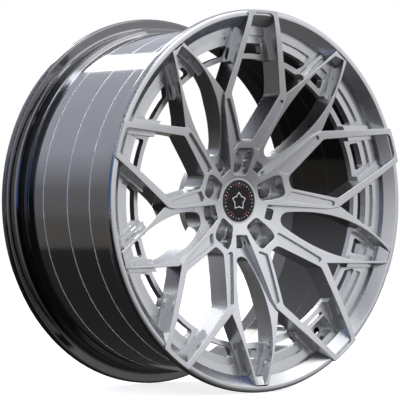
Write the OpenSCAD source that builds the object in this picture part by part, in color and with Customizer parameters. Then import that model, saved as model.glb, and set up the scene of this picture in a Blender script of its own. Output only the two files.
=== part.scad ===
// Forged three-piece racing wheel, 20 x 9 J, five lugs.
// Built about local +Z, the street side, then laid over so that the street side faces -Y and +Z is up.
// The origin is the centre of the mounting pad.

/* [Rim] */
// Specified rim diameter at the bead seats, 20 inch code
bead_d = 512.8; // [500:0.1:526]
// Height of the tyre flanges above the bead seats
flange_h = 17.3; // [16.5:0.1:18.5]
// Width between the tyre flanges, 9 inch
rim_w = 228.6; // [225:0.1:235]
// Axial thickness of each tyre flange
flange_t = 15.8; // [15:0.1:16.5]
// Distance of the mounting pad ahead of the rim's middle plane
offset_et = 30; // [28:1:33]
// Wall thickness of the inner barrel
barrel_wall = 4; // [3.5:0.1:5]

/* [Hub] */
// Diameter of the lug bolt circle
lug_pcd = 112; // [110:0.1:114.3]
// Diameter of the lug bolt holes
lug_hole_d = 15; // [14:0.5:16]
// Diameter of the bore machined in the hub
hub_bore_d = 73.1; // [72:0.1:74]
// Diameter of the bore in the centring ring
ring_bore_d = 66.6; // [63:0.1:68]
// Diameter of the mounting pad
pad_d = 148; // [146:1:152]
// Diameter of the centre cap
cap_d = 60; // [59:0.5:62]

/* [Fasteners] */
// Thread diameter of the assembly screws
screw_d = 6; // [5:0.5:6]
// Diameter of the valve hole
valve_hole_d = 11.3; // [8.3:0.1:11.5]

/* [Hidden] */

// Outer radius of the wheel. Proportions below are fractions of it.
R = bead_d / 2 + flange_h;
// Height of the front lip plane above the mounting pad
lip_z = rim_w / 2 + flange_t - offset_et;
lugs = 5;
step_a = 360 / lugs;
valve_lug = 2;
eps = 0.02;

// Fractions of R: rim section
bead_f = bead_d / 2 / R;
flange_f = flange_t / R;
width_f = (rim_w + 2 * flange_t) / R;
edge_f = 0.022;
curl_f = 0.015;
curl_at_f = 0.040;
well_f = 0.9165;
wall_f = barrel_wall / R;
joint_f = -0.121;
screw_flange_f = -0.150;
screw_flange_in_f = 0.835;
plate_back_f = -0.135;
plate_in_f = 0.747;
groove_depths_f = [0.284, 0.471, 0.680];
groove_w_f = 0.0035;
groove_d_f = 0.0032;
shoulder_f = -0.785;

// Fractions of R: front of the slotted ring, the dish and the lip, from inside out
dish_profile = [[plate_in_f, -0.103], [0.870, -0.081], [0.916, -0.078], [0.918, -0.046], [0.968, 0]];
pocket_floor_f = -0.0935;
pocket_out_f = 0.870;
slot_in_f = 0.774;
slot_out_f = 0.828;

// Half angles of the ring's openings at their inner and outer arcs, in degrees
lug_slot = [5.6, 4.5];
gap_slot = [3.4, 2.0];
long_slot = [5.35, 8.15];
long_slot_a = 19.75;

// Fractions of R: spoke pattern. Points are [across, along] a lug's axis or a gap's axis.
crown_f = 0.19;
hub_face_f = 0.12;
hub_disc_f = 0.22;
tip_rise_f = 0.012;
step_f = 0.0425;
window_foot = [0.032, 0.3165];
window_bend = [0.165, 0.56];
window_tip = [0.0665, 0.9785];
band_foot = [0.0772, 0.1676];
band_knee = [[0.205, 0.49], [0.215, 0.55]];
band_tip = [0.093, 1.0];
tip_out_f = 0.997;
fork_notch = [0.16, 0.587];
fork_tip = [0.045, 0.962];
lens_r = 0.774;
lens_y = 0.62;
lens_half = 0.10;
lens_foot = 0.295;
lens_top = 0.96;
lens_join = 0.05;
trough_foot = [0.036, 0.181];
trough_end = [0.40, 1.1];
lug_pocket = [[0.044, 0.137], [0.061, 0.235], [0.055, 0.278]];
gap_pocket = [[0.026, 0.190], [0.031, 0.247]];
foot_w_f = 0.022;
foot_top_f = -0.062;
foot_out_f = 0.915;
leg_groove = [[0.050, 0.312], [0.083, 0.262], [0.2, 0.528], [0.176, 0.534]];
leg_groove_depth_f = 0.015;
back_profile = [[0.290, -0.300], [0.315, -0.262], [0.36, -0.243], [0.45, -0.218], [0.56, -0.190],
                [0.65, -0.158], [plate_in_f, -0.140]];

// Hub, in millimetres
lug_r = lug_pcd / 2;
seat_top_z = 39;
seat_base_z = 20;
seat_out_r = 15.5;
cone_r = 14;
cone_h = (cone_r - lug_hole_d / 2) / tan(30);
bore_deep_z = 30;
gap_pocket_z = 25;
back_pocket_r = 10;
back_pocket_h = 10;
hub_ring_h = 12;
chamfer = 0.5;

// Centre cap, in millimetres
hub_face_z = lip_z - crown_f * R;
cap_seat_z = hub_face_z - 3.6;
cap_gap = 0.3;
cap_bore_r = cap_d / 2 - 2.8;
cap_rim = 1.8;
cap_base_h = 1.8;
leg_r = cap_bore_r - cap_gap;
leg_t = 2.2;
leg_count = 6;
leg_slot = 3;
leg_end_z = cap_seat_z - 14.5;
emblem_h = 0.4;
clip_wire_r = 0.8;

// Screws, in millimetres
screw_pitch_f = 0.8665;
screw_pitch_r = screw_pitch_f * R;
screw_seat_z = lip_z + screw_flange_f * R;
screw_angles = [7.5, step_a / 2 - 4.5, step_a / 2 + 4.5, step_a - 7.5];
screw_bite = 6;
screw_end_z = lip_z + lookup(screw_pitch_f, dish_profile) * R + screw_bite;
washer_h = 1.2;
washer_r = 6.3;
head_r = 5;
head_h = 6;
socket_r = 2.9;
seal_r = 0.9075 * R;
seal_wire_r = 1.1;
seal_groove_half = 1.2;

// Valve boss and its pocket, fractions of R
valve_half = 0.060;
valve_in = 0.802;
valve_out = 0.897;
valve_wall = 0.013;
valve_floor = -0.135;
valve_rear = -0.150;
valve_recess = -0.210;
valve_recess_in = 0.847;
valve_at = 0.8645;
valve_seat_d = 16.5;
valve_seat_depth = 1;

function clamp01(v) = max(0, min(1, v));
// Street-side face of the raised bands
function crown(f) = -crown_f * pow(clamp01((0.97 - max(f, hub_face_f)) / 0.85), 1.65)
                  + tip_rise_f * pow(clamp01((f - 0.55) / 0.43), 2);
// Lower face of the troughs and of the narrow spokes
function shelf(f) = -crown_f * pow(clamp01((0.97 - f) / 0.85), 1.65)
                  - step_f * pow(clamp01((0.78 - f) / 0.48), 1.5);
function mm(points) = [for (p = points) [p[0] * R, p[1] * R]];
// Section points: fractions of R with depth from the lip plane, to [radius, height]
function section(points) = [for (p = points) [p[0] * R, lip_z + p[1] * R]];
function reversed(points) = [for (i = [len(points) - 1:-1:0]) points[i]];
// Outline of a shape that is the same on both sides, from its right-hand points
function mirrored(points) = concat([for (p = points) [-p[0], p[1]]], reversed(points));
function arc(x, y, r, from, to, n = 6) =
    [for (i = [0:n]) let (a = from + (to - from) * i / n) [x + r * cos(a), y + r * sin(a)]];
function ring_groove(z) = [[well_f, -z + groove_w_f], [well_f - groove_d_f, -z], [well_f, -z - groove_w_f]];
function polar(r, a) = [r * sin(a), r * cos(a)];

module lay_over() rotate([90, 0, 0]) children();
module each_lug() for (k = [0:lugs - 1]) rotate(-step_a * k) children();
module each_gap() for (k = [0:lugs - 1]) rotate(-step_a * (k + 0.5)) children();
module both_sides() {
    children();
    mirror([1, 0]) children();
}
module rounded(r) offset(r = r, $fn = 32) offset(delta = -r) children();
module turned(points) rotate_extrude($fn = 240) polygon(points);
module above(z) translate([0, 0, z]) linear_extrude(2 * lip_z) children();
module ring_2d(r_out, r_in) difference() {
    circle(r_out, $fn = 240);
    circle(r_in, $fn = 240);
}

// ---- Rim halves ----

// Tyre-side outline of a flange with its bead seat, from the flange edge to the seat
function flange_section(side, face) = concat(
    [for (p = arc(0, 0, edge_f, 90, 0)) [1 - edge_f + p[0], face + side * (p[1] - edge_f)]],
    [for (p = arc(0, 0, curl_f, 0, -90, 4)) [1 - curl_f + p[0], face + side * (p[1] - curl_at_f)]],
    [for (p = arc(0, 0, edge_f, 90, 180, 4))
        [bead_f + edge_f + p[0], face + side * (p[1] - flange_f - edge_f)]]);

module outer_lip_section() polygon(section(concat(
    dish_profile,
    flange_section(1, 0),
    [[bead_f, joint_f + 0.010], [bead_f - 0.012, joint_f], [screw_flange_in_f, joint_f],
     [screw_flange_in_f, plate_back_f], [plate_in_f, plate_back_f]])));

// Opening in the ring between two arcs. half_a holds its half angles at the inner and the outer arc.
module ring_opening(r_out, mid_a, half_a) rounded(3) polygon(concat(
    [for (i = [-2:2]) polar(slot_in_f * R, mid_a + half_a[0] * i / 2)],
    [for (i = [2:-1:-2]) polar(r_out * R, mid_a + half_a[1] * i / 2)]));

// Cuts every opening of the ring except the valve's, from the given height up
module ring_cuts(z, r_out) translate([0, 0, lip_z + z * R]) for (k = [0:lugs - 1])
    rotate(-step_a * k) {
        if (k != valve_lug) linear_extrude(lip_z) ring_opening(r_out, 0, lug_slot);
        linear_extrude(lip_z) ring_opening(r_out, long_slot_a, long_slot);
        linear_extrude(lip_z) ring_opening(r_out, step_a / 2, gap_slot);
        linear_extrude(lip_z) ring_opening(r_out, step_a - long_slot_a, long_slot);
    }
module valve_outline(half, r_in, r_out) rotate(-step_a * valve_lug)
    translate([-half * R, r_in * R]) square([2 * half * R, (r_out - r_in) * R]);

module outer_lip() color([0.73, 0.74, 0.76]) lay_over() difference() {
    union() {
        rotate_extrude($fn = 240) outer_lip_section();
        translate([0, 0, lip_z + valve_rear * R])
            linear_extrude((joint_f - valve_rear) * R + eps)
            valve_outline(valve_half + valve_wall, valve_in - valve_wall, valve_out);
    }
    ring_cuts(pocket_floor_f, pocket_out_f);
    ring_cuts(-0.2, slot_out_f);
    translate([0, 0, lip_z + valve_floor * R]) linear_extrude(lip_z) rounded(3)
        valve_outline(valve_half, valve_in, valve_out - 0.002);
    linear_extrude(2 * lip_z) rounded(1.8)
        valve_outline(valve_half, slot_in_f, valve_in - valve_wall - 0.001);
    rotate(-step_a * valve_lug) translate([0, valve_at * R, 0]) {
        cylinder(d = valve_hole_d, h = 2 * lip_z, $fn = 64);
        translate([0, 0, lip_z + valve_floor * R - valve_seat_depth])
            cylinder(d = valve_seat_d, h = 2 * valve_seat_depth, $fn = 64);
    }
    screw_holes(screw_d / 2 + 0.3);
}

module screw_holes(r) each_lug() for (a = screw_angles) rotate(-a)
    translate([0, screw_pitch_r, -lip_z]) cylinder(r = r, h = 3 * lip_z, $fn = 32);

module inner_barrel_section() {
    rear = -width_f;
    polygon(section(concat(
        [[screw_flange_in_f, joint_f], [well_f, joint_f]],
        [for (z = groove_depths_f) each ring_groove(z)],
        [[well_f, shoulder_f + 0.020], [bead_f, shoulder_f], [bead_f + 0.004, shoulder_f - 0.012],
         [bead_f, shoulder_f - 0.026]],
        reversed(flange_section(-1, rear)),
        [[0.972, rear], [0.958, rear + 0.012], [0.936, rear + 0.036], [bead_f - wall_f, rear + 0.056],
         [bead_f - wall_f, shoulder_f - 0.004], [well_f - wall_f, shoulder_f + 0.018],
         [well_f - wall_f, screw_flange_f], [screw_flange_in_f, screw_flange_f]])));
}

module inner_barrel() color([0.20, 0.21, 0.23]) lay_over() difference() {
    union() {
        rotate_extrude($fn = 240) inner_barrel_section();
        intersection() {
            translate([0, 0, lip_z + (valve_recess - 0.018) * R])
                linear_extrude((joint_f - valve_recess + 0.018) * R)
                valve_outline(valve_half + 0.020, valve_recess_in - valve_wall, 0.915);
            cylinder(r = (well_f - 0.005) * R, h = 4 * lip_z, center = true, $fn = 240);
        }
    }
    translate([0, 0, lip_z + valve_rear * R]) linear_extrude(lip_z)
        valve_outline(valve_half + valve_wall, screw_flange_in_f - 0.01, valve_out);
    translate([0, 0, lip_z + valve_recess * R]) linear_extrude((valve_rear - valve_recess) * R)
        rounded(4) valve_outline(valve_half, valve_recess_in, 0.95);
    seal_groove();
    screw_holes(screw_d / 2 + 0.3);
}

// Square groove in the barrel's front face
module seal_groove() translate([0, 0, lip_z + joint_f * R - 2 * seal_wire_r])
    linear_extrude(4 * seal_wire_r) ring_2d(seal_r + seal_groove_half, seal_r - seal_groove_half);

module rim_seal() color([0.12, 0.12, 0.12]) lay_over()
    translate([0, 0, lip_z + joint_f * R - seal_wire_r])
    rotate_extrude($fn = 240) translate([seal_r, 0]) circle(seal_wire_r, $fn = 24);

// ---- Spoke centre ----

module window_2d() rounded(9) polygon(mm(mirrored([window_foot, window_bend, window_tip])));

// Lens window with a round foot, which stands lens_join millimetres proud of being tangent to both sides
module lens_2d() {
    x = lens_r - lens_half;
    foot_r = (x * x + pow(lens_y - lens_foot, 2) - lens_r * lens_r)
           / (2 * (lens_y - lens_foot) - 2 * lens_r);
    foot_y = lens_foot + foot_r;
    tangent_y = lens_y - lens_r * (lens_y - foot_y) / (lens_r - foot_r);
    intersection() {
        translate([-x * R, lens_y * R]) circle(lens_r * R, $fn = 360);
        translate([x * R, lens_y * R]) circle(lens_r * R, $fn = 360);
        translate([-R, tangent_y * R]) square([2 * R, (lens_top - tangent_y) * R]);
    }
    translate([0, foot_y * R]) circle(foot_r * R + lens_join, $fn = 48);
}

module band_half() polygon(mm(concat([[0, 0], band_foot], band_knee, [band_tip, [0, 1]])));
module bands_2d() intersection() {
    each_lug() difference() {
        both_sides() band_half();
        window_2d();
    }
    circle(tip_out_f * R, $fn = 240);
}
module fork_2d() both_sides() polygon(mm([[0, 0.15], [0.09, 0.30], fork_notch, fork_tip, [0, fork_tip[1]]]));
module spokes_2d() {
    circle(hub_disc_f * R, $fn = 240);
    bands_2d();
    each_gap() difference() {
        fork_2d();
        lens_2d();
    }
}
// Gaps between the raised bands, down to the hub
module troughs_2d() difference() {
    each_gap() polygon(mm(mirrored([trough_foot, trough_end])));
    bands_2d();
}
module feet_2d() intersection() {
    offset(delta = foot_w_f * R) intersection() {
        spokes_2d();
        ring_2d(1.1 * R, 0.66 * R);
    }
    ring_2d(foot_out_f * R, plate_in_f * R);
}

function crown_line(f_from, f_to, n, drop) =
    [for (i = [0:n]) let (f = f_from + (f_to - f_from) * i / n) [f, crown(f) - drop]];
function shelf_line(f_from, f_to, n) =
    [for (i = [0:n]) let (f = f_from + (f_to - f_from) * i / n) [f, shelf(f)]];

module centre_envelope() turned(concat(
    [[0, 0], [pad_d / 2, 0]],
    section(concat(back_profile, dish_profile, [[tip_out_f, 0]])),
    section(reversed(crown_line(hub_face_f, tip_out_f, 12, 0))),
    [[0, hub_face_z]]));
module above_line(points) turned(section(concat(
    points, [[points[len(points) - 1][0], 0.1], [points[0][0], 0.1]])));

module spoke_centre() color([0.73, 0.74, 0.76]) lay_over() difference() {
    union() {
        intersection() {
            linear_extrude(2 * lip_z) spokes_2d();
            centre_envelope();
        }
        intersection() {
            linear_extrude(2 * lip_z) feet_2d();
            turned(section(concat(
                [for (i = [0:2]) dish_profile[i]], [[0.916, foot_top_f], [plate_in_f, foot_top_f]])));
        }
    }
    intersection() {
        linear_extrude(2 * lip_z) troughs_2d();
        above_line(shelf_line(0.15, 0.99, 14));
    }
    intersection() {
        linear_extrude(2 * lip_z) each_lug() both_sides() rounded(2.8) polygon(mm(leg_groove));
        above_line(crown_line(0.24, 0.60, 6, leg_groove_depth_f));
    }
    above(seat_top_z) each_lug() rounded(6) polygon(mm(mirrored(lug_pocket)));
    above(gap_pocket_z) each_gap() rounded(3.5) polygon(mm(mirrored(gap_pocket)));
    each_lug() translate([0, lug_r, 0]) {
        translate([0, 0, -1]) cylinder(d = lug_hole_d, h = seat_top_z, $fn = 64);
        translate([0, 0, seat_base_z]) cylinder(r = seat_out_r, h = lip_z, $fn = 64);
    }
    each_gap() translate([0, lug_r, -1])
        cylinder(r = back_pocket_r, h = back_pocket_h + 1, $fn = 48);
    translate([0, 0, -1]) cylinder(d = hub_bore_d, h = bore_deep_z + 1, $fn = 128);
    cylinder(r = cap_bore_r, h = lip_z, $fn = 128);
    translate([0, 0, cap_seat_z]) cylinder(d = cap_d + 2 * cap_gap, h = lip_z, $fn = 128);
    each_lug() for (a = screw_angles) rotate(-a)
        translate([0, screw_pitch_r, 0]) cylinder(r = screw_d / 2, h = screw_end_z, $fn = 32);
}

// ---- Hub fittings ----

module lug_seat(k) color([0.55, 0.55, 0.56]) lay_over() rotate(-step_a * (k - 1))
    translate([0, lug_r, 0]) rotate_extrude($fn = 96) polygon([
        [lug_hole_d / 2, seat_base_z], [seat_out_r, seat_base_z], [seat_out_r, seat_top_z],
        [cone_r, seat_top_z], [lug_hole_d / 2, seat_top_z - cone_h]]);

module hub_ring() color([0.10, 0.10, 0.11]) lay_over() rotate_extrude($fn = 128) polygon([
    [ring_bore_d / 2 + chamfer, 0], [hub_bore_d / 2 - chamfer, 0], [hub_bore_d / 2, chamfer],
    [hub_bore_d / 2, hub_ring_h - chamfer], [hub_bore_d / 2 - chamfer, hub_ring_h],
    [ring_bore_d / 2 + chamfer, hub_ring_h], [ring_bore_d / 2, hub_ring_h - chamfer],
    [ring_bore_d / 2, chamfer]]);

// ---- Centre cap ----

cap_low_z = cap_seat_z + 0.1;
cap_face_z = cap_low_z + cap_base_h;
cap_top_z = hub_face_z + 0.3;

module cap_body() color([0.06, 0.06, 0.07]) lay_over() {
    rotate_extrude($fn = 128) polygon([
        [0, cap_low_z], [cap_d / 2, cap_low_z], [cap_d / 2, cap_top_z - chamfer],
        [cap_d / 2 - chamfer, cap_top_z], [cap_d / 2 - cap_rim, cap_top_z],
        [cap_d / 2 - cap_rim, cap_face_z], [0, cap_face_z]]);
    difference() {
        rotate_extrude($fn = 128) polygon([
            [leg_r - leg_t, cap_low_z], [leg_r - leg_t, leg_end_z], [leg_r - 1, leg_end_z],
            [leg_r, leg_end_z + 1.5], [leg_r - 0.5, leg_end_z + 4], [leg_r - 0.5, cap_low_z]]);
        for (k = [0:leg_count - 1]) rotate(k * 360 / leg_count)
            translate([0, -leg_slot / 2, leg_end_z - 1]) cube([cap_d, leg_slot, 11]);
        clip_ring_groove();
    }
}
module clip_ring_groove() translate([0, 0, leg_end_z + 2.5]) rotate_extrude($fn = 128)
    translate([leg_r - leg_t, 0]) circle(clip_wire_r, $fn = 24);

module cap_clip_ring() color([0.6, 0.6, 0.62]) lay_over() clip_ring_groove();

module cap_disc() color([0.03, 0.03, 0.035]) lay_over() translate([0, 0, cap_face_z])
    cylinder(r = cap_d / 2 - cap_rim, h = hub_face_z - cap_face_z, $fn = 128);

// Five open chevrons set in a ring
module cap_emblem() color([0.8, 0.8, 0.82]) lay_over() translate([0, 0, hub_face_z])
    linear_extrude(emblem_h) each_lug() difference() {
        polygon([[0, 13.5], [5.4, 7.2], [0, 4.2], [-5.4, 7.2]]);
        polygon([[0, 11.6], [3.9, 7.1], [0, 2.4], [-3.9, 7.1]]);
    }

// ---- Assembly hardware ----

module at_screws() each_lug() for (a = screw_angles) rotate(-a) translate([0, screw_pitch_r, 0]) children();

module assembly_screws() color([0.5, 0.5, 0.52]) lay_over() at_screws() {
    difference() {
        translate([0, 0, screw_seat_z - washer_h - head_h])
            cylinder(r = head_r, h = head_h, $fn = 48);
        translate([0, 0, screw_seat_z - washer_h - head_h - 1])
            cylinder(r = socket_r, h = 4, $fn = 6);
    }
    translate([0, 0, screw_seat_z - washer_h])
        cylinder(d = screw_d, h = screw_end_z - screw_seat_z + washer_h, $fn = 32);
}

module screw_washers() color([0.62, 0.62, 0.63]) lay_over() at_screws()
    translate([0, 0, screw_seat_z - washer_h]) difference() {
        cylinder(r = washer_r, h = washer_h, $fn = 48);
        translate([0, 0, -1]) cylinder(r = screw_d / 2 + 0.3, h = washer_h + 2, $fn = 32);
    }

inner_barrel();
outer_lip();
spoke_centre();
lug_seat(1);  // lug_seat_1
lug_seat(2);  // lug_seat_2
lug_seat(3);  // lug_seat_3
lug_seat(4);  // lug_seat_4
lug_seat(5);  // lug_seat_5
hub_ring();
cap_body();
cap_disc();
cap_emblem();
cap_clip_ring();
assembly_screws();
screw_washers();
rim_seal();
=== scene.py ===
"""Looks of the forged wheel rim: finishes, broken edges, cap markings, studio and camera."""
import math

import bmesh
import bpy
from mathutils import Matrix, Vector

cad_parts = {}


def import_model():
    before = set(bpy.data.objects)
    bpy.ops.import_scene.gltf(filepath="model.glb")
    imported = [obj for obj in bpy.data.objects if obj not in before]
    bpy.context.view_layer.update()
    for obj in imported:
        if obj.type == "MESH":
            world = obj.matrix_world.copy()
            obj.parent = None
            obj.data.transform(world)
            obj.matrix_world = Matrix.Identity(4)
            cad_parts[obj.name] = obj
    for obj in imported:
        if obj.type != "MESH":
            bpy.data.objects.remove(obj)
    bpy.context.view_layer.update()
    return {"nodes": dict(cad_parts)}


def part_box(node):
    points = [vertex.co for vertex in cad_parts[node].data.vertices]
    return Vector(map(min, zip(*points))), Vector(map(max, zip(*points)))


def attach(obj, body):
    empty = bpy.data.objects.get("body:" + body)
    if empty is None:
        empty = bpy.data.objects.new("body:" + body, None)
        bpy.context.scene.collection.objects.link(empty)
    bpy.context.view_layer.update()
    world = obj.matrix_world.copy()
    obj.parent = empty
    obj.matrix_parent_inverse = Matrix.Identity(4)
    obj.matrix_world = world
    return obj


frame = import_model()

# ---- Sizes, in metres, from the frame ----

lip_low, lip_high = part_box("outer_lip")
RIM_R = (lip_high.x - lip_low.x) / 2
LIP_Y = lip_low.y
disc_low, disc_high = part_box("cap_disc")
CAP_FACE_Y = disc_low.y
CAP_FACE_R = (disc_high.x - disc_low.x) / 2


# ---- Node helpers ----

class Nodes:
    """Short calls for building one node tree."""

    def __init__(self, tree):
        self.tree = tree

    def add(self, kind, **settings):
        node = self.tree.nodes.new(kind)
        for name, value in settings.items():
            setattr(node, name, value)
        return node

    def feed(self, value, socket):
        if isinstance(value, bpy.types.NodeSocket):
            self.tree.links.new(value, socket)
        else:
            socket.default_value = value

    def math(self, operation, a, b=0.0, c=0.0):
        node = self.add("ShaderNodeMath", operation=operation)
        for value, socket in zip((a, b, c), node.inputs):
            self.feed(value, socket)
        return node.outputs[0]

    def step(self, value, low, high):
        """Rises smoothly from 0 at low to 1 at high."""
        node = self.add("ShaderNodeMapRange", interpolation_type="SMOOTHSTEP")
        self.feed(value, node.inputs["Value"])
        node.inputs["From Min"].default_value = low
        node.inputs["From Max"].default_value = high
        return node.outputs["Result"]

    def span(self, value, low, high):
        """Maps 0 to 1 onto low to high."""
        node = self.add("ShaderNodeMapRange")
        self.feed(value, node.inputs["Value"])
        node.inputs["To Min"].default_value = low
        node.inputs["To Max"].default_value = high
        return node.outputs["Result"]

    def product(self, *factors):
        result = factors[0]
        for factor in factors[1:]:
            result = self.math("MULTIPLY", result, factor)
        return result

    def band(self, value, rise, fall):
        """1 between the two steps, each given as where it starts and ends, and 0 outside them."""
        return self.product(self.step(value, *rise), self.step(value, *fall))

    def mix(self, share, a, b):
        node = self.add("ShaderNodeMix", data_type="RGBA")
        self.feed(share, node.inputs["Factor"])
        self.feed(a, node.inputs["A"])
        self.feed(b, node.inputs["B"])
        return node.outputs["Result"]

    def noise(self, place, scale, detail=3.0, roughness=0.5):
        node = self.add("ShaderNodeTexNoise")
        self.feed(place, node.inputs["Vector"])
        node.inputs["Scale"].default_value = scale
        node.inputs["Detail"].default_value = detail
        node.inputs["Roughness"].default_value = roughness
        return node.outputs["Fac"]

    def bump(self, height, strength, distance):
        node = self.add("ShaderNodeBump")
        node.inputs["Strength"].default_value = strength
        node.inputs["Distance"].default_value = distance
        self.feed(height, node.inputs["Height"])
        return node.outputs["Normal"]

    def place(self, space="Object"):
        return self.add("ShaderNodeTexCoord").outputs[space]

    def axes(self, place):
        return self.add_linked("ShaderNodeSeparateXYZ", place).outputs

    def add_linked(self, kind, value):
        node = self.add(kind)
        self.feed(value, node.inputs[0])
        return node

    def radius(self, place):
        """Distance from the wheel's axis, in metres."""
        x, _, z = self.axes(place)
        return self.length(x, z)

    def length(self, a, b):
        return self.math("SQRT", self.math("ADD", self.math("MULTIPLY", a, a), self.math("MULTIPLY", b, b)))

    def outwardness(self):
        """How far the surface faces away from the wheel's axis, from -1 to 1."""
        x, _, z = self.axes(self.place())
        nx, _, nz = self.axes(self.place("Normal"))
        away = self.math("ADD", self.math("MULTIPLY", x, nx), self.math("MULTIPLY", z, nz))
        return self.math("DIVIDE", away, self.radius(self.place()))


def material(name, color, metallic, roughness, **sockets):
    """A new material, its node builder and its shader, with the shader's plain values set."""
    mat = bpy.data.materials.new(name)
    mat.use_nodes = True
    n = Nodes(mat.node_tree)
    shader = mat.node_tree.nodes["Principled BSDF"]
    shader.inputs["Base Color"].default_value = (*color, 1)
    shader.inputs["Metallic"].default_value = metallic
    shader.inputs["Roughness"].default_value = roughness
    for socket, value in sockets.items():
        shader.inputs[socket.replace("_", " ")].default_value = value
    return mat, n, shader


# ---- Materials ----

SILVER = (0.60, 0.605, 0.615)
SILVER_DARK = (0.53, 0.535, 0.55)
BARREL = (0.36, 0.36, 0.375)
BARREL_DARK = (0.31, 0.31, 0.325)
# Painted shade: near-black colour inside the barrel, standing in for the dark reflections there
BARREL_INSIDE_SHADE = (0.035, 0.034, 0.033)
FLANGE = (0.13, 0.13, 0.135)
# Light bluish groove colour: partly a bare turned finish, partly a painted highlight along the grooves
BARE_HIGHLIGHT = (0.66, 0.68, 0.73)

# Shares of the rim's radius, counted back from the lip: the barrel's grooves and its rear bead shoulder
GROOVES = (0.284, 0.471, 0.680)
SHOULDER = 0.765

# Where the lip turns dark: from how far outward a surface faces, how deep and at what radius, in metres
OUTWARD = (0.02, 0.06)
LIP_DARK_DEPTH = (0.0018, 0.0022)
LIP_DARK_R = (0.2505, 0.2509)

# Where the barrel's painted near-black shade inside ends, and half of a groove's width, whose light colour is
# partly painted highlight, in metres
BARREL_INSIDE_SHADE_R = (0.2486, 0.2490)
GROOVE_HALF_W = (0.0010, 0.0014)

# Lowest and highest roughness
SATIN = (0.24, 0.32)
LIP_GLOSS = (0.08, 0.13)
BARREL_GLOSS = (0.05, 0.11)


def silver_color(n, place):
    """Faint cloudiness and metallic flake of a satin silver lacquer."""
    cloud = n.noise(place, 18, 2)
    flake = n.noise(place, 2600, 1)
    return n.mix(n.math("MULTIPLY", n.math("ADD", cloud, flake), 0.5), (*SILVER_DARK, 1), (*SILVER, 1))


def satin_silver():
    mat, n, shader = material("satin_silver", SILVER, 1.0, 0.28, Coat_Weight=0.3, Coat_Roughness=0.1)
    place = n.place()
    n.feed(silver_color(n, place), shader.inputs["Base Color"])
    n.feed(n.span(n.noise(place, 60, 3), *SATIN), shader.inputs["Roughness"])
    n.feed(n.bump(n.noise(place, 1800, 2), 0.05, 0.0004), shader.inputs["Normal"])
    return mat


def lip_finish():
    """Silver on the street side, dark gloss where the surface faces outward behind the lip's edge."""
    mat, n, shader = material("silver_and_dark_lip", SILVER, 1.0, 0.28, Coat_Weight=0.3, Coat_Roughness=0.1)
    place = n.place()
    radius = n.radius(place)
    depth = n.math("SUBTRACT", n.axes(place)[1], LIP_Y)
    outward = n.step(n.outwardness(), *OUTWARD)
    behind = n.math("MULTIPLY", n.step(depth, *LIP_DARK_DEPTH), n.step(radius, *LIP_DARK_R))
    dark = n.math("MULTIPLY", outward, behind)
    n.feed(n.mix(dark, silver_color(n, place), (*BARREL, 1)), shader.inputs["Base Color"])
    satin = n.span(n.noise(place, 60, 3), *SATIN)
    gloss = n.span(n.noise(place, 90, 3), *LIP_GLOSS)
    rough = n.add("ShaderNodeMix", data_type="FLOAT")
    n.feed(dark, rough.inputs["Factor"])
    n.feed(satin, rough.inputs["A"])
    n.feed(gloss, rough.inputs["B"])
    n.feed(rough.outputs["Result"], shader.inputs["Roughness"])
    n.feed(n.bump(n.noise(place, 1800, 2), 0.05, 0.0004), shader.inputs["Normal"])
    return mat


def barrel_finish():
    """Dark gloss with turned grooves in a light bluish bare finish that is partly painted highlight, darker on
    the bead seat and flange, and painted near-black shade inside.
    """
    mat, n, shader = material("dark_gloss_barrel", BARREL, 1.0, 0.1, Coat_Weight=0.6, Coat_Roughness=0.03)
    place = n.place()
    depth = n.math("SUBTRACT", n.axes(place)[1], LIP_Y)
    # Painted shade: surfaces facing inward inside the barrel turn near black
    inside_shade = n.math("SUBTRACT", 1.0, n.step(n.radius(place), *BARREL_INSIDE_SHADE_R))
    inside_shade = n.math("MULTIPLY", inside_shade, n.step(n.outwardness(), 0.6, 0.4))
    flange = n.step(depth, SHOULDER * RIM_R, SHOULDER * RIM_R + 0.001)
    cloud = n.math("ADD", n.noise(place, 25, 2), n.noise(place, 2400, 1))
    color = n.mix(n.math("MULTIPLY", cloud, 0.5), (*BARREL_DARK, 1), (*BARREL, 1))
    color = n.mix(flange, color, (*FLANGE, 1))
    gloss = n.span(n.noise(place, 700, 2), *BARREL_GLOSS)
    # The grooves' light bluish colour is partly painted highlight. Lower metallic and more roughness give their
    # bare finish
    bare_highlight = 0.0
    for groove in GROOVES:
        off = n.math("ABSOLUTE", n.math("SUBTRACT", depth, groove * RIM_R))
        bare_highlight = n.math("ADD", bare_highlight, n.math("SUBTRACT", 1.0, n.step(off, *GROOVE_HALF_W)))
    color = n.mix(bare_highlight, color, (*BARE_HIGHLIGHT, 1))
    n.feed(n.mix(inside_shade, color, (*BARREL_INSIDE_SHADE, 1)), shader.inputs["Base Color"])
    n.feed(n.math("MULTIPLY_ADD", bare_highlight, 0.25, gloss), shader.inputs["Roughness"])
    n.feed(n.math("MULTIPLY_ADD", bare_highlight, -0.2, 1.0), shader.inputs["Metallic"])
    turning = n.noise(n.axes(place)[1], 2200, 1)
    n.feed(n.bump(turning, 0.04, 0.0002), shader.inputs["Normal"])
    return mat


def turned_steel():
    """Concentric tool marks about each ring's own centre."""
    mat, n, shader = material("turned_steel", (0.46, 0.46, 0.465), 1.0, 0.3)
    x, _, z = n.axes(n.place("Generated"))
    dx, dz = n.math("SUBTRACT", x, 0.5), n.math("SUBTRACT", z, 0.5)
    marks = n.math("SINE", n.math("MULTIPLY", n.length(dx, dz), 420.0))
    n.feed(n.bump(marks, 0.12, 0.0001), shader.inputs["Normal"])
    n.feed(n.span(n.noise(n.place(), 300, 2), 0.22, 0.36), shader.inputs["Roughness"])
    return mat


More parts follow.
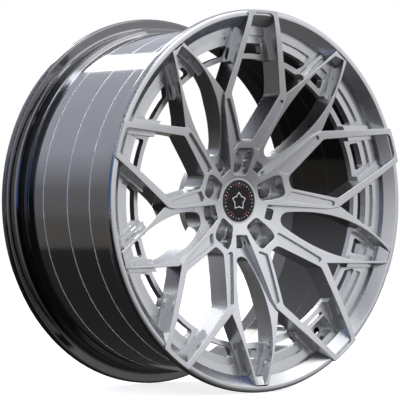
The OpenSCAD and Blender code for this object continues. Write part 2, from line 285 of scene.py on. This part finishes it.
def zinc(name, color):
    mat, n, shader = material(name, color, 1.0, 0.35)
    place = n.place()
    cells = n.noise(place, 900, 3)
    n.feed(n.mix(cells, tuple(0.8 * c for c in color) + (1,), (*color, 1)), shader.inputs["Base Color"])
    n.feed(n.span(cells, 0.28, 0.44), shader.inputs["Roughness"])
    n.feed(n.bump(cells, 0.1, 0.0002), shader.inputs["Normal"])
    return mat


def plastic(name, color, roughness, grain, strength, level=0.5):
    mat, n, shader = material(name, color, 0.0, roughness, Specular_IOR_Level=level)
    place = n.place()
    texture = n.noise(place, grain, 3)
    n.feed(n.span(texture, roughness * 0.85, roughness * 1.2), shader.inputs["Roughness"])
    n.feed(n.mix(texture, tuple(0.85 * c for c in color) + (1,), tuple(1.15 * c for c in color) + (1,)),
           shader.inputs["Base Color"])
    n.feed(n.bump(texture, strength, 0.0002), shader.inputs["Normal"])
    return mat


SILVER_MAT = satin_silver()
FINISHES = {
    "spoke_centre": SILVER_MAT,
    "outer_lip": lip_finish(),
    "inner_barrel": barrel_finish(),
    "hub_ring": plastic("ring_plastic", (0.03, 0.03, 0.032), 0.5, 1200, 0.12),
    "cap_body": plastic("cap_plastic", (0.02, 0.02, 0.022), 0.32, 1500, 0.06),
    "cap_disc": plastic("cap_disc_gloss", (0.006, 0.006, 0.007), 0.5, 1500, 0.04, level=0.2),
    "cap_emblem": zinc("emblem_chrome", (0.80, 0.80, 0.82)),
    "cap_clip_ring": zinc("spring_wire", (0.5, 0.5, 0.52)),
    "assembly_screws": zinc("zinc_screw", (0.42, 0.42, 0.43)),
    "screw_washers": zinc("zinc_washer", (0.5, 0.5, 0.5)),
    "rim_seal": plastic("seal_rubber", (0.03, 0.03, 0.03), 0.6, 900, 0.2),
}
STEEL = turned_steel()
for k in range(1, 6):
    FINISHES[f"lug_seat_{k}"] = STEEL

for name, finish in FINISHES.items():
    mesh = frame["nodes"][name].data
    mesh.materials.clear()
    mesh.materials.append(finish)


# ---- Broken edges on the CAD nodes ----

def geometry_tree(name):
    """An empty geometry node group with its builder, its input socket and its output node's socket."""
    tree = bpy.data.node_groups.new(name, "GeometryNodeTree")
    tree.interface.new_socket("Geometry", in_out="INPUT", socket_type="NodeSocketGeometry")
    tree.interface.new_socket("Geometry", in_out="OUTPUT", socket_type="NodeSocketGeometry")
    n = Nodes(tree)
    return tree, n, n.add("NodeGroupInput").outputs[0], n.add("NodeGroupOutput").inputs[0]


def store(n, geometry, kind, domain, name, value):
    """Keeps value under name on the geometry."""
    node = n.add("GeometryNodeStoreNamedAttribute", data_type=kind, domain=domain)
    n.feed(geometry, node.inputs["Geometry"])
    node.inputs["Name"].default_value = name
    n.feed(value, node.inputs["Value"])
    return node.outputs["Geometry"]


def on_pad(n):
    """1 on the mounting pad's flat face with its holes and pockets, which stays as it is, and 0 elsewhere."""
    position = n.add("GeometryNodeInputPosition").outputs[0]
    near = n.math("LESS_THAN", n.radius(position), PAD_ZONE_R)
    return n.math("MULTIPLY", near, n.math("GREATER_THAN", n.axes(position)[1], PAD_ZONE_Y))


def weld_tree():
    """Joins the CAD faces' meshes and remembers where two of them meet."""
    tree, n, start, end = geometry_tree("weld_faces")
    neighbours = n.add("GeometryNodeInputMeshEdgeNeighbors").outputs["Face Count"]
    outline = n.math("LESS_THAN", neighbours, 1.5)
    marked = store(n, start, "FLOAT", "EDGE", "outline", outline)
    merge = n.add("GeometryNodeMergeByDistance")
    n.feed(marked, merge.inputs["Geometry"])
    merge.inputs["Distance"].default_value = WELD
    n.feed(store(n, merge.outputs["Geometry"], "BOOLEAN", "EDGE", "sharp_edge", on_pad(n)), end)
    return tree


def crease_tree():
    """Picks the outward edges for the bevel, and keeps the inward ones and the pad's sharp."""
    tree, n, start, end = geometry_tree("pick_edges")
    angle = n.add("GeometryNodeInputMeshEdgeAngle").outputs["Signed Angle"]
    outline = n.add("GeometryNodeInputNamedAttribute", data_type="FLOAT")
    outline.inputs["Name"].default_value = "outline"
    meets = n.math("GREATER_THAN", outline.outputs["Attribute"], 0.25)
    pad = on_pad(n)
    rising = n.math("MULTIPLY", meets, n.math("GREATER_THAN", angle, CREASE))
    outward = n.math("MULTIPLY", rising, n.math("SUBTRACT", 1.0, pad))
    inward = n.math("MULTIPLY", meets, n.math("LESS_THAN", angle, -CREASE))
    sharp = n.math("ADD", inward, n.math("MULTIPLY", rising, pad))
    smooth = n.add("GeometryNodeSetShadeSmooth")
    n.feed(start, smooth.inputs["Geometry"])
    place = n.add("GeometryNodeInputPosition").outputs[0]
    y = n.axes(place)[1]
    foot = n.product(
        n.math("GREATER_THAN", y, LIP_Y + FOOT_DEPTH), n.math("GREATER_THAN", n.radius(place), FOOT_R),
        n.math("LESS_THAN", y, LIP_Y + FOOT_END))
    weight = n.math("MULTIPLY", outward, n.math("MULTIPLY_ADD", foot, FOOT_WEIGHT - 1, 1.0))
    weighted = store(n, smooth.outputs["Geometry"], "FLOAT", "EDGE", "bevel_weight_edge", weight)
    n.feed(store(n, weighted, "BOOLEAN", "EDGE", "sharp_edge", sharp), end)
    return tree


WELD = 2e-6
FLAT = math.radians(0.6)
CREASE = math.radians(11)

# Where the rounding is finer, on the spokes' feet and the slotted ring: depths behind the lip, least radius
# and share of the full width
FOOT_DEPTH, FOOT_END = 0.012, 0.065
FOOT_R = 0.2
FOOT_WEIGHT = 0.35

# The mounting pad's flat face: greatest radius and least y
PAD_ZONE_R = 0.1
PAD_ZONE_Y = -0.001

WELD_FACES, PICK_EDGES = weld_tree(), crease_tree()


def break_edges(name, width, segments=3):
    """Welds the node's faces, merges flat ones and rounds its outward edges."""
    node = frame["nodes"][name]
    node.modifiers.new("weld_faces", "NODES").node_group = WELD_FACES
    flat = node.modifiers.new("flat", "DECIMATE")
    flat.decimate_type = "DISSOLVE"
    flat.angle_limit = FLAT
    flat.delimit = {"SHARP"}
    node.modifiers.new("pick_edges", "NODES").node_group = PICK_EDGES
    bevel = node.modifiers.new("edges", "BEVEL")
    bevel.width = width
    bevel.segments = segments
    bevel.limit_method = "WEIGHT"
    bevel.use_clamp_overlap = False
    bevel.miter_outer = "MITER_ARC"
    node.modifiers.new("normals", "WEIGHTED_NORMAL").keep_sharp = True


break_edges("spoke_centre", 0.0009)
break_edges("outer_lip", 0.0006)
break_edges("inner_barrel", 0.0006)
for k in range(1, 6):
    break_edges(f"lug_seat_{k}", 0.0003, 2)


# ---- Cap markings: fine ticks and short arcs of inlaid enamel ----

MARK_H = 0.00012
TICKS = 30
ARCS = 5


def ring_sector(mesh, inner, outer, start, sweep, steps):
    """Adds a thin raised sector of a ring about the wheel's axis, from angle start over sweep."""
    layers = []
    for height in (0.0, MARK_H):
        for radius in (inner, outer):
            row = []
            for i in range(steps + 1):
                angle = start + sweep * i / steps
                x, z = radius * math.sin(angle), radius * math.cos(angle)
                row.append(mesh.verts.new((x, CAP_FACE_Y - height, z)))
            layers.append(row)
    low_in, low_out, top_in, top_out = layers
    for i in range(steps):
        for a, b in ((top_in, top_out), (top_out, low_out), (low_in, top_in)):
            mesh.faces.new((a[i], a[i + 1], b[i + 1], b[i]))
    for i in (0, steps):
        mesh.faces.new((low_in[i], top_in[i], top_out[i], low_out[i]))
    bmesh.ops.recalc_face_normals(mesh, faces=mesh.faces)


def cap_mark(name, sectors, finish):
    """One piece on the cap made of ring sectors, given as (inner, outer, middle, sweep) in the disc's radii."""
    mesh = bmesh.new()
    for inner, outer, middle, sweep in sectors:
        steps = max(2, math.ceil(sweep / math.radians(4)))
        ring_sector(mesh, inner * CAP_FACE_R, outer * CAP_FACE_R, middle - sweep / 2, sweep, steps)
    data = bpy.data.meshes.new(name)
    mesh.to_mesh(data)
    mesh.free()
    piece = bpy.data.objects.new(name, data)
    bpy.context.scene.collection.objects.link(piece)
    data.materials.append(finish)
    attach(piece, "cap")


tick_step = math.tau / TICKS
ticks = [
    (0.865, 0.93 if k % 3 else 0.95, k * tick_step, math.radians(1.6 if k % 3 else 2.6))
    for k in range(TICKS)]
cap_mark("cap_ticks", ticks, plastic("tick_enamel", (0.42, 0.42, 0.43), 0.35, 1500, 0.03))
arcs = [(0.765, 0.785, k * math.tau / ARCS, math.radians(24)) for k in range(ARCS)]
dots = [(0.875, 0.915, (k + 0.5) * math.tau / 2, math.radians(3.5)) for k in range(2)]
cap_mark("cap_arcs", arcs + dots, plastic("red_enamel", (0.42, 0.03, 0.025), 0.3, 1500, 0.03))


# ---- Stage: floor, world, lights and camera ----

def floor():
    bpy.ops.mesh.primitive_circle_add(
        vertices=96, radius=6, fill_type="NGON", location=(0, 0, -RIM_R - 0.0005))
    disc = bpy.context.object
    disc.name = "studio_floor"
    mat, n, shader = material("studio_floor", (0.86, 0.86, 0.86), 0.0, 0.9)
    n.feed(n.mix(n.noise(n.place(), 3, 2), (0.84, 0.84, 0.84, 1), (0.88, 0.88, 0.88, 1)),
           shader.inputs["Base Color"])
    shader.inputs["Emission Color"].default_value = (1, 1, 1, 1)
    shader.inputs["Emission Strength"].default_value = 0.8
    disc.data.materials.append(mat)
    disc.visible_glossy = False


def ramp(n, value, stops):
    node = n.add("ShaderNodeValToRGB")
    n.feed(value, node.inputs[0])
    ends = node.color_ramp.elements
    for i, (at, color) in enumerate(stops):
        stop = ends[i] if i < 2 else ends.new(at)
        stop.position = at
        stop.color = (*color, 1)
    return node.outputs[0]


# The studio's walls by height, from 0 at the floor to 1 at the ceiling, behind the wheel and before it
BACK_WALL = [
    (0.0, (0.02, 0.02, 0.02)), (0.335, (0.045, 0.043, 0.042)), (0.345, (0.16, 0.15, 0.135)),
    (0.444, (0.19, 0.18, 0.165)), (0.448, (0.22, 0.22, 0.215)), (0.54, (0.27, 0.27, 0.28)),
    (0.67, (0.66, 0.68, 0.76)), (0.82, (0.74, 0.76, 0.84)), (1.0, (0.9, 0.9, 0.94))]
FRONT_WALL = [
    (0.0, (0.12, 0.12, 0.12)), (0.25, (0.24, 0.24, 0.24)), (0.40, (0.55, 0.55, 0.56)),
    (0.5, (0.88, 0.89, 0.92)), (0.65, (1.15, 1.16, 1.21)), (0.85, (1.4, 1.42, 1.47)), (1.0, (1.5, 1.5, 1.5))]

# The dark left side, low down and high up, with thin upright lights by their directions' y
DUSK_LOW = (0.02, 0.021, 0.024, 1)
DUSK_HIGH = (0.12, 0.13, 0.16, 1)
LEFT_TUBES = (-0.42, -0.05, 0.36)
TUBE_W = 0.06
TUBE_EDGE = 0.01
TUBE_LIGHT = (4.0, 4.2, 4.6, 1)

# A blue panel at the far left, with a gap about GAP_Y, and a bright overhead strip
BLUE_LIGHT = (0.20, 0.36, 0.80, 1)
GAP_Y = 0.18
STRIP_LIGHT = (6, 6, 6, 1)
WHITE = (1, 1, 1, 1)


def world():
    """A studio as glossy rays see it: dark floor, grey walls, light above. The camera sees plain white."""
    bpy.context.scene.world = bpy.data.worlds.new("studio")
    bpy.context.scene.world.use_nodes = True
    tree = bpy.context.scene.world.node_tree
    n = Nodes(tree)
    x, y, z = n.axes(n.place("Generated"))
    height = n.math("MULTIPLY_ADD", z, 0.5, 0.5)
    room = n.mix(n.step(y, 0.35, -0.35), ramp(n, height, BACK_WALL), ramp(n, height, FRONT_WALL))
    left = n.product(n.step(x, 0.0, -0.25), n.band(y, (0.68, 0.55), (-0.78, -0.62)))
    room = n.mix(left, room, n.mix(n.step(z, 0.0, 0.3), DUSK_LOW, DUSK_HIGH))
    upper_left = n.product(left, n.step(z, -0.25, 0.05))
    for low in LEFT_TUBES:
        high = low + TUBE_W
        tube = n.band(y, (low, low + TUBE_EDGE), (high, high - TUBE_EDGE))
        room = n.mix(n.product(tube, upper_left), room, TUBE_LIGHT)
    from_gap = n.math("ABSOLUTE", n.math("SUBTRACT", y, GAP_Y))
    blue = n.product(
        n.step(x, -0.74, -0.80), n.band(z, (-0.10, 0.0), (0.42, 0.34)), n.step(from_gap, 0.14, 0.18),
        n.band(y, (-0.50, -0.40), (0.60, 0.52)))
    room = n.mix(blue, room, BLUE_LIGHT)
    strip = n.product(n.band(x, (0.115, 0.13), (0.305, 0.29)), n.step(y, 0.58, 0.62), n.step(z, 0.30, 0.34))
    lit = n.mix(strip, room, STRIP_LIGHT)
    camera_ray = n.add("ShaderNodeLightPath").outputs["Is Camera Ray"]
    n.feed(n.mix(camera_ray, lit, WHITE), tree.nodes["Background"].inputs["Color"])


def area(name, place, target, size, power):
    """A soft rectangular light that the camera doesn't see."""
    data = bpy.data.lights.new(name, "AREA")
    data.shape = "RECTANGLE"
    data.size, data.size_y = size
    data.energy = power
    lamp = bpy.data.objects.new(name, data)
    bpy.context.scene.collection.objects.link(lamp)
    lamp.location = place
    lamp.rotation_euler = (Vector(target) - Vector(place)).to_track_quat("-Z", "Y").to_euler()
    lamp.visible_camera = False


# The camera's place from the middle of the lip's plane, in rim radii, and the direction it looks in
CAMERA_PLACE = (-8.2588, -9.4619, -0.020)
CAMERA_AIM = (0.6378, 0.7702, 0.0020)


def camera():
    """39.6 degrees round to the left, level with the wheel's axis, a long lens from about 3.4 metres."""
    data = bpy.data.cameras.new("view")
    data.lens = 216.75
    data.sensor_width = 36
    data.clip_end = 100
    cam = bpy.data.objects.new("view", data)
    bpy.context.scene.collection.objects.link(cam)
    cam.location = Vector((0, LIP_Y, 0)) + RIM_R * Vector(CAMERA_PLACE)
    cam.rotation_euler = Vector(CAMERA_AIM).to_track_quat("-Z", "Y").to_euler()
    bpy.context.scene.camera = cam


floor()
world()
area("overhead", (0.2, -0.6, 2.6), (0, 0, 0), (2.4, 1.6), 20)
camera()
bpy.context.scene.view_settings.view_transform = "Standard"
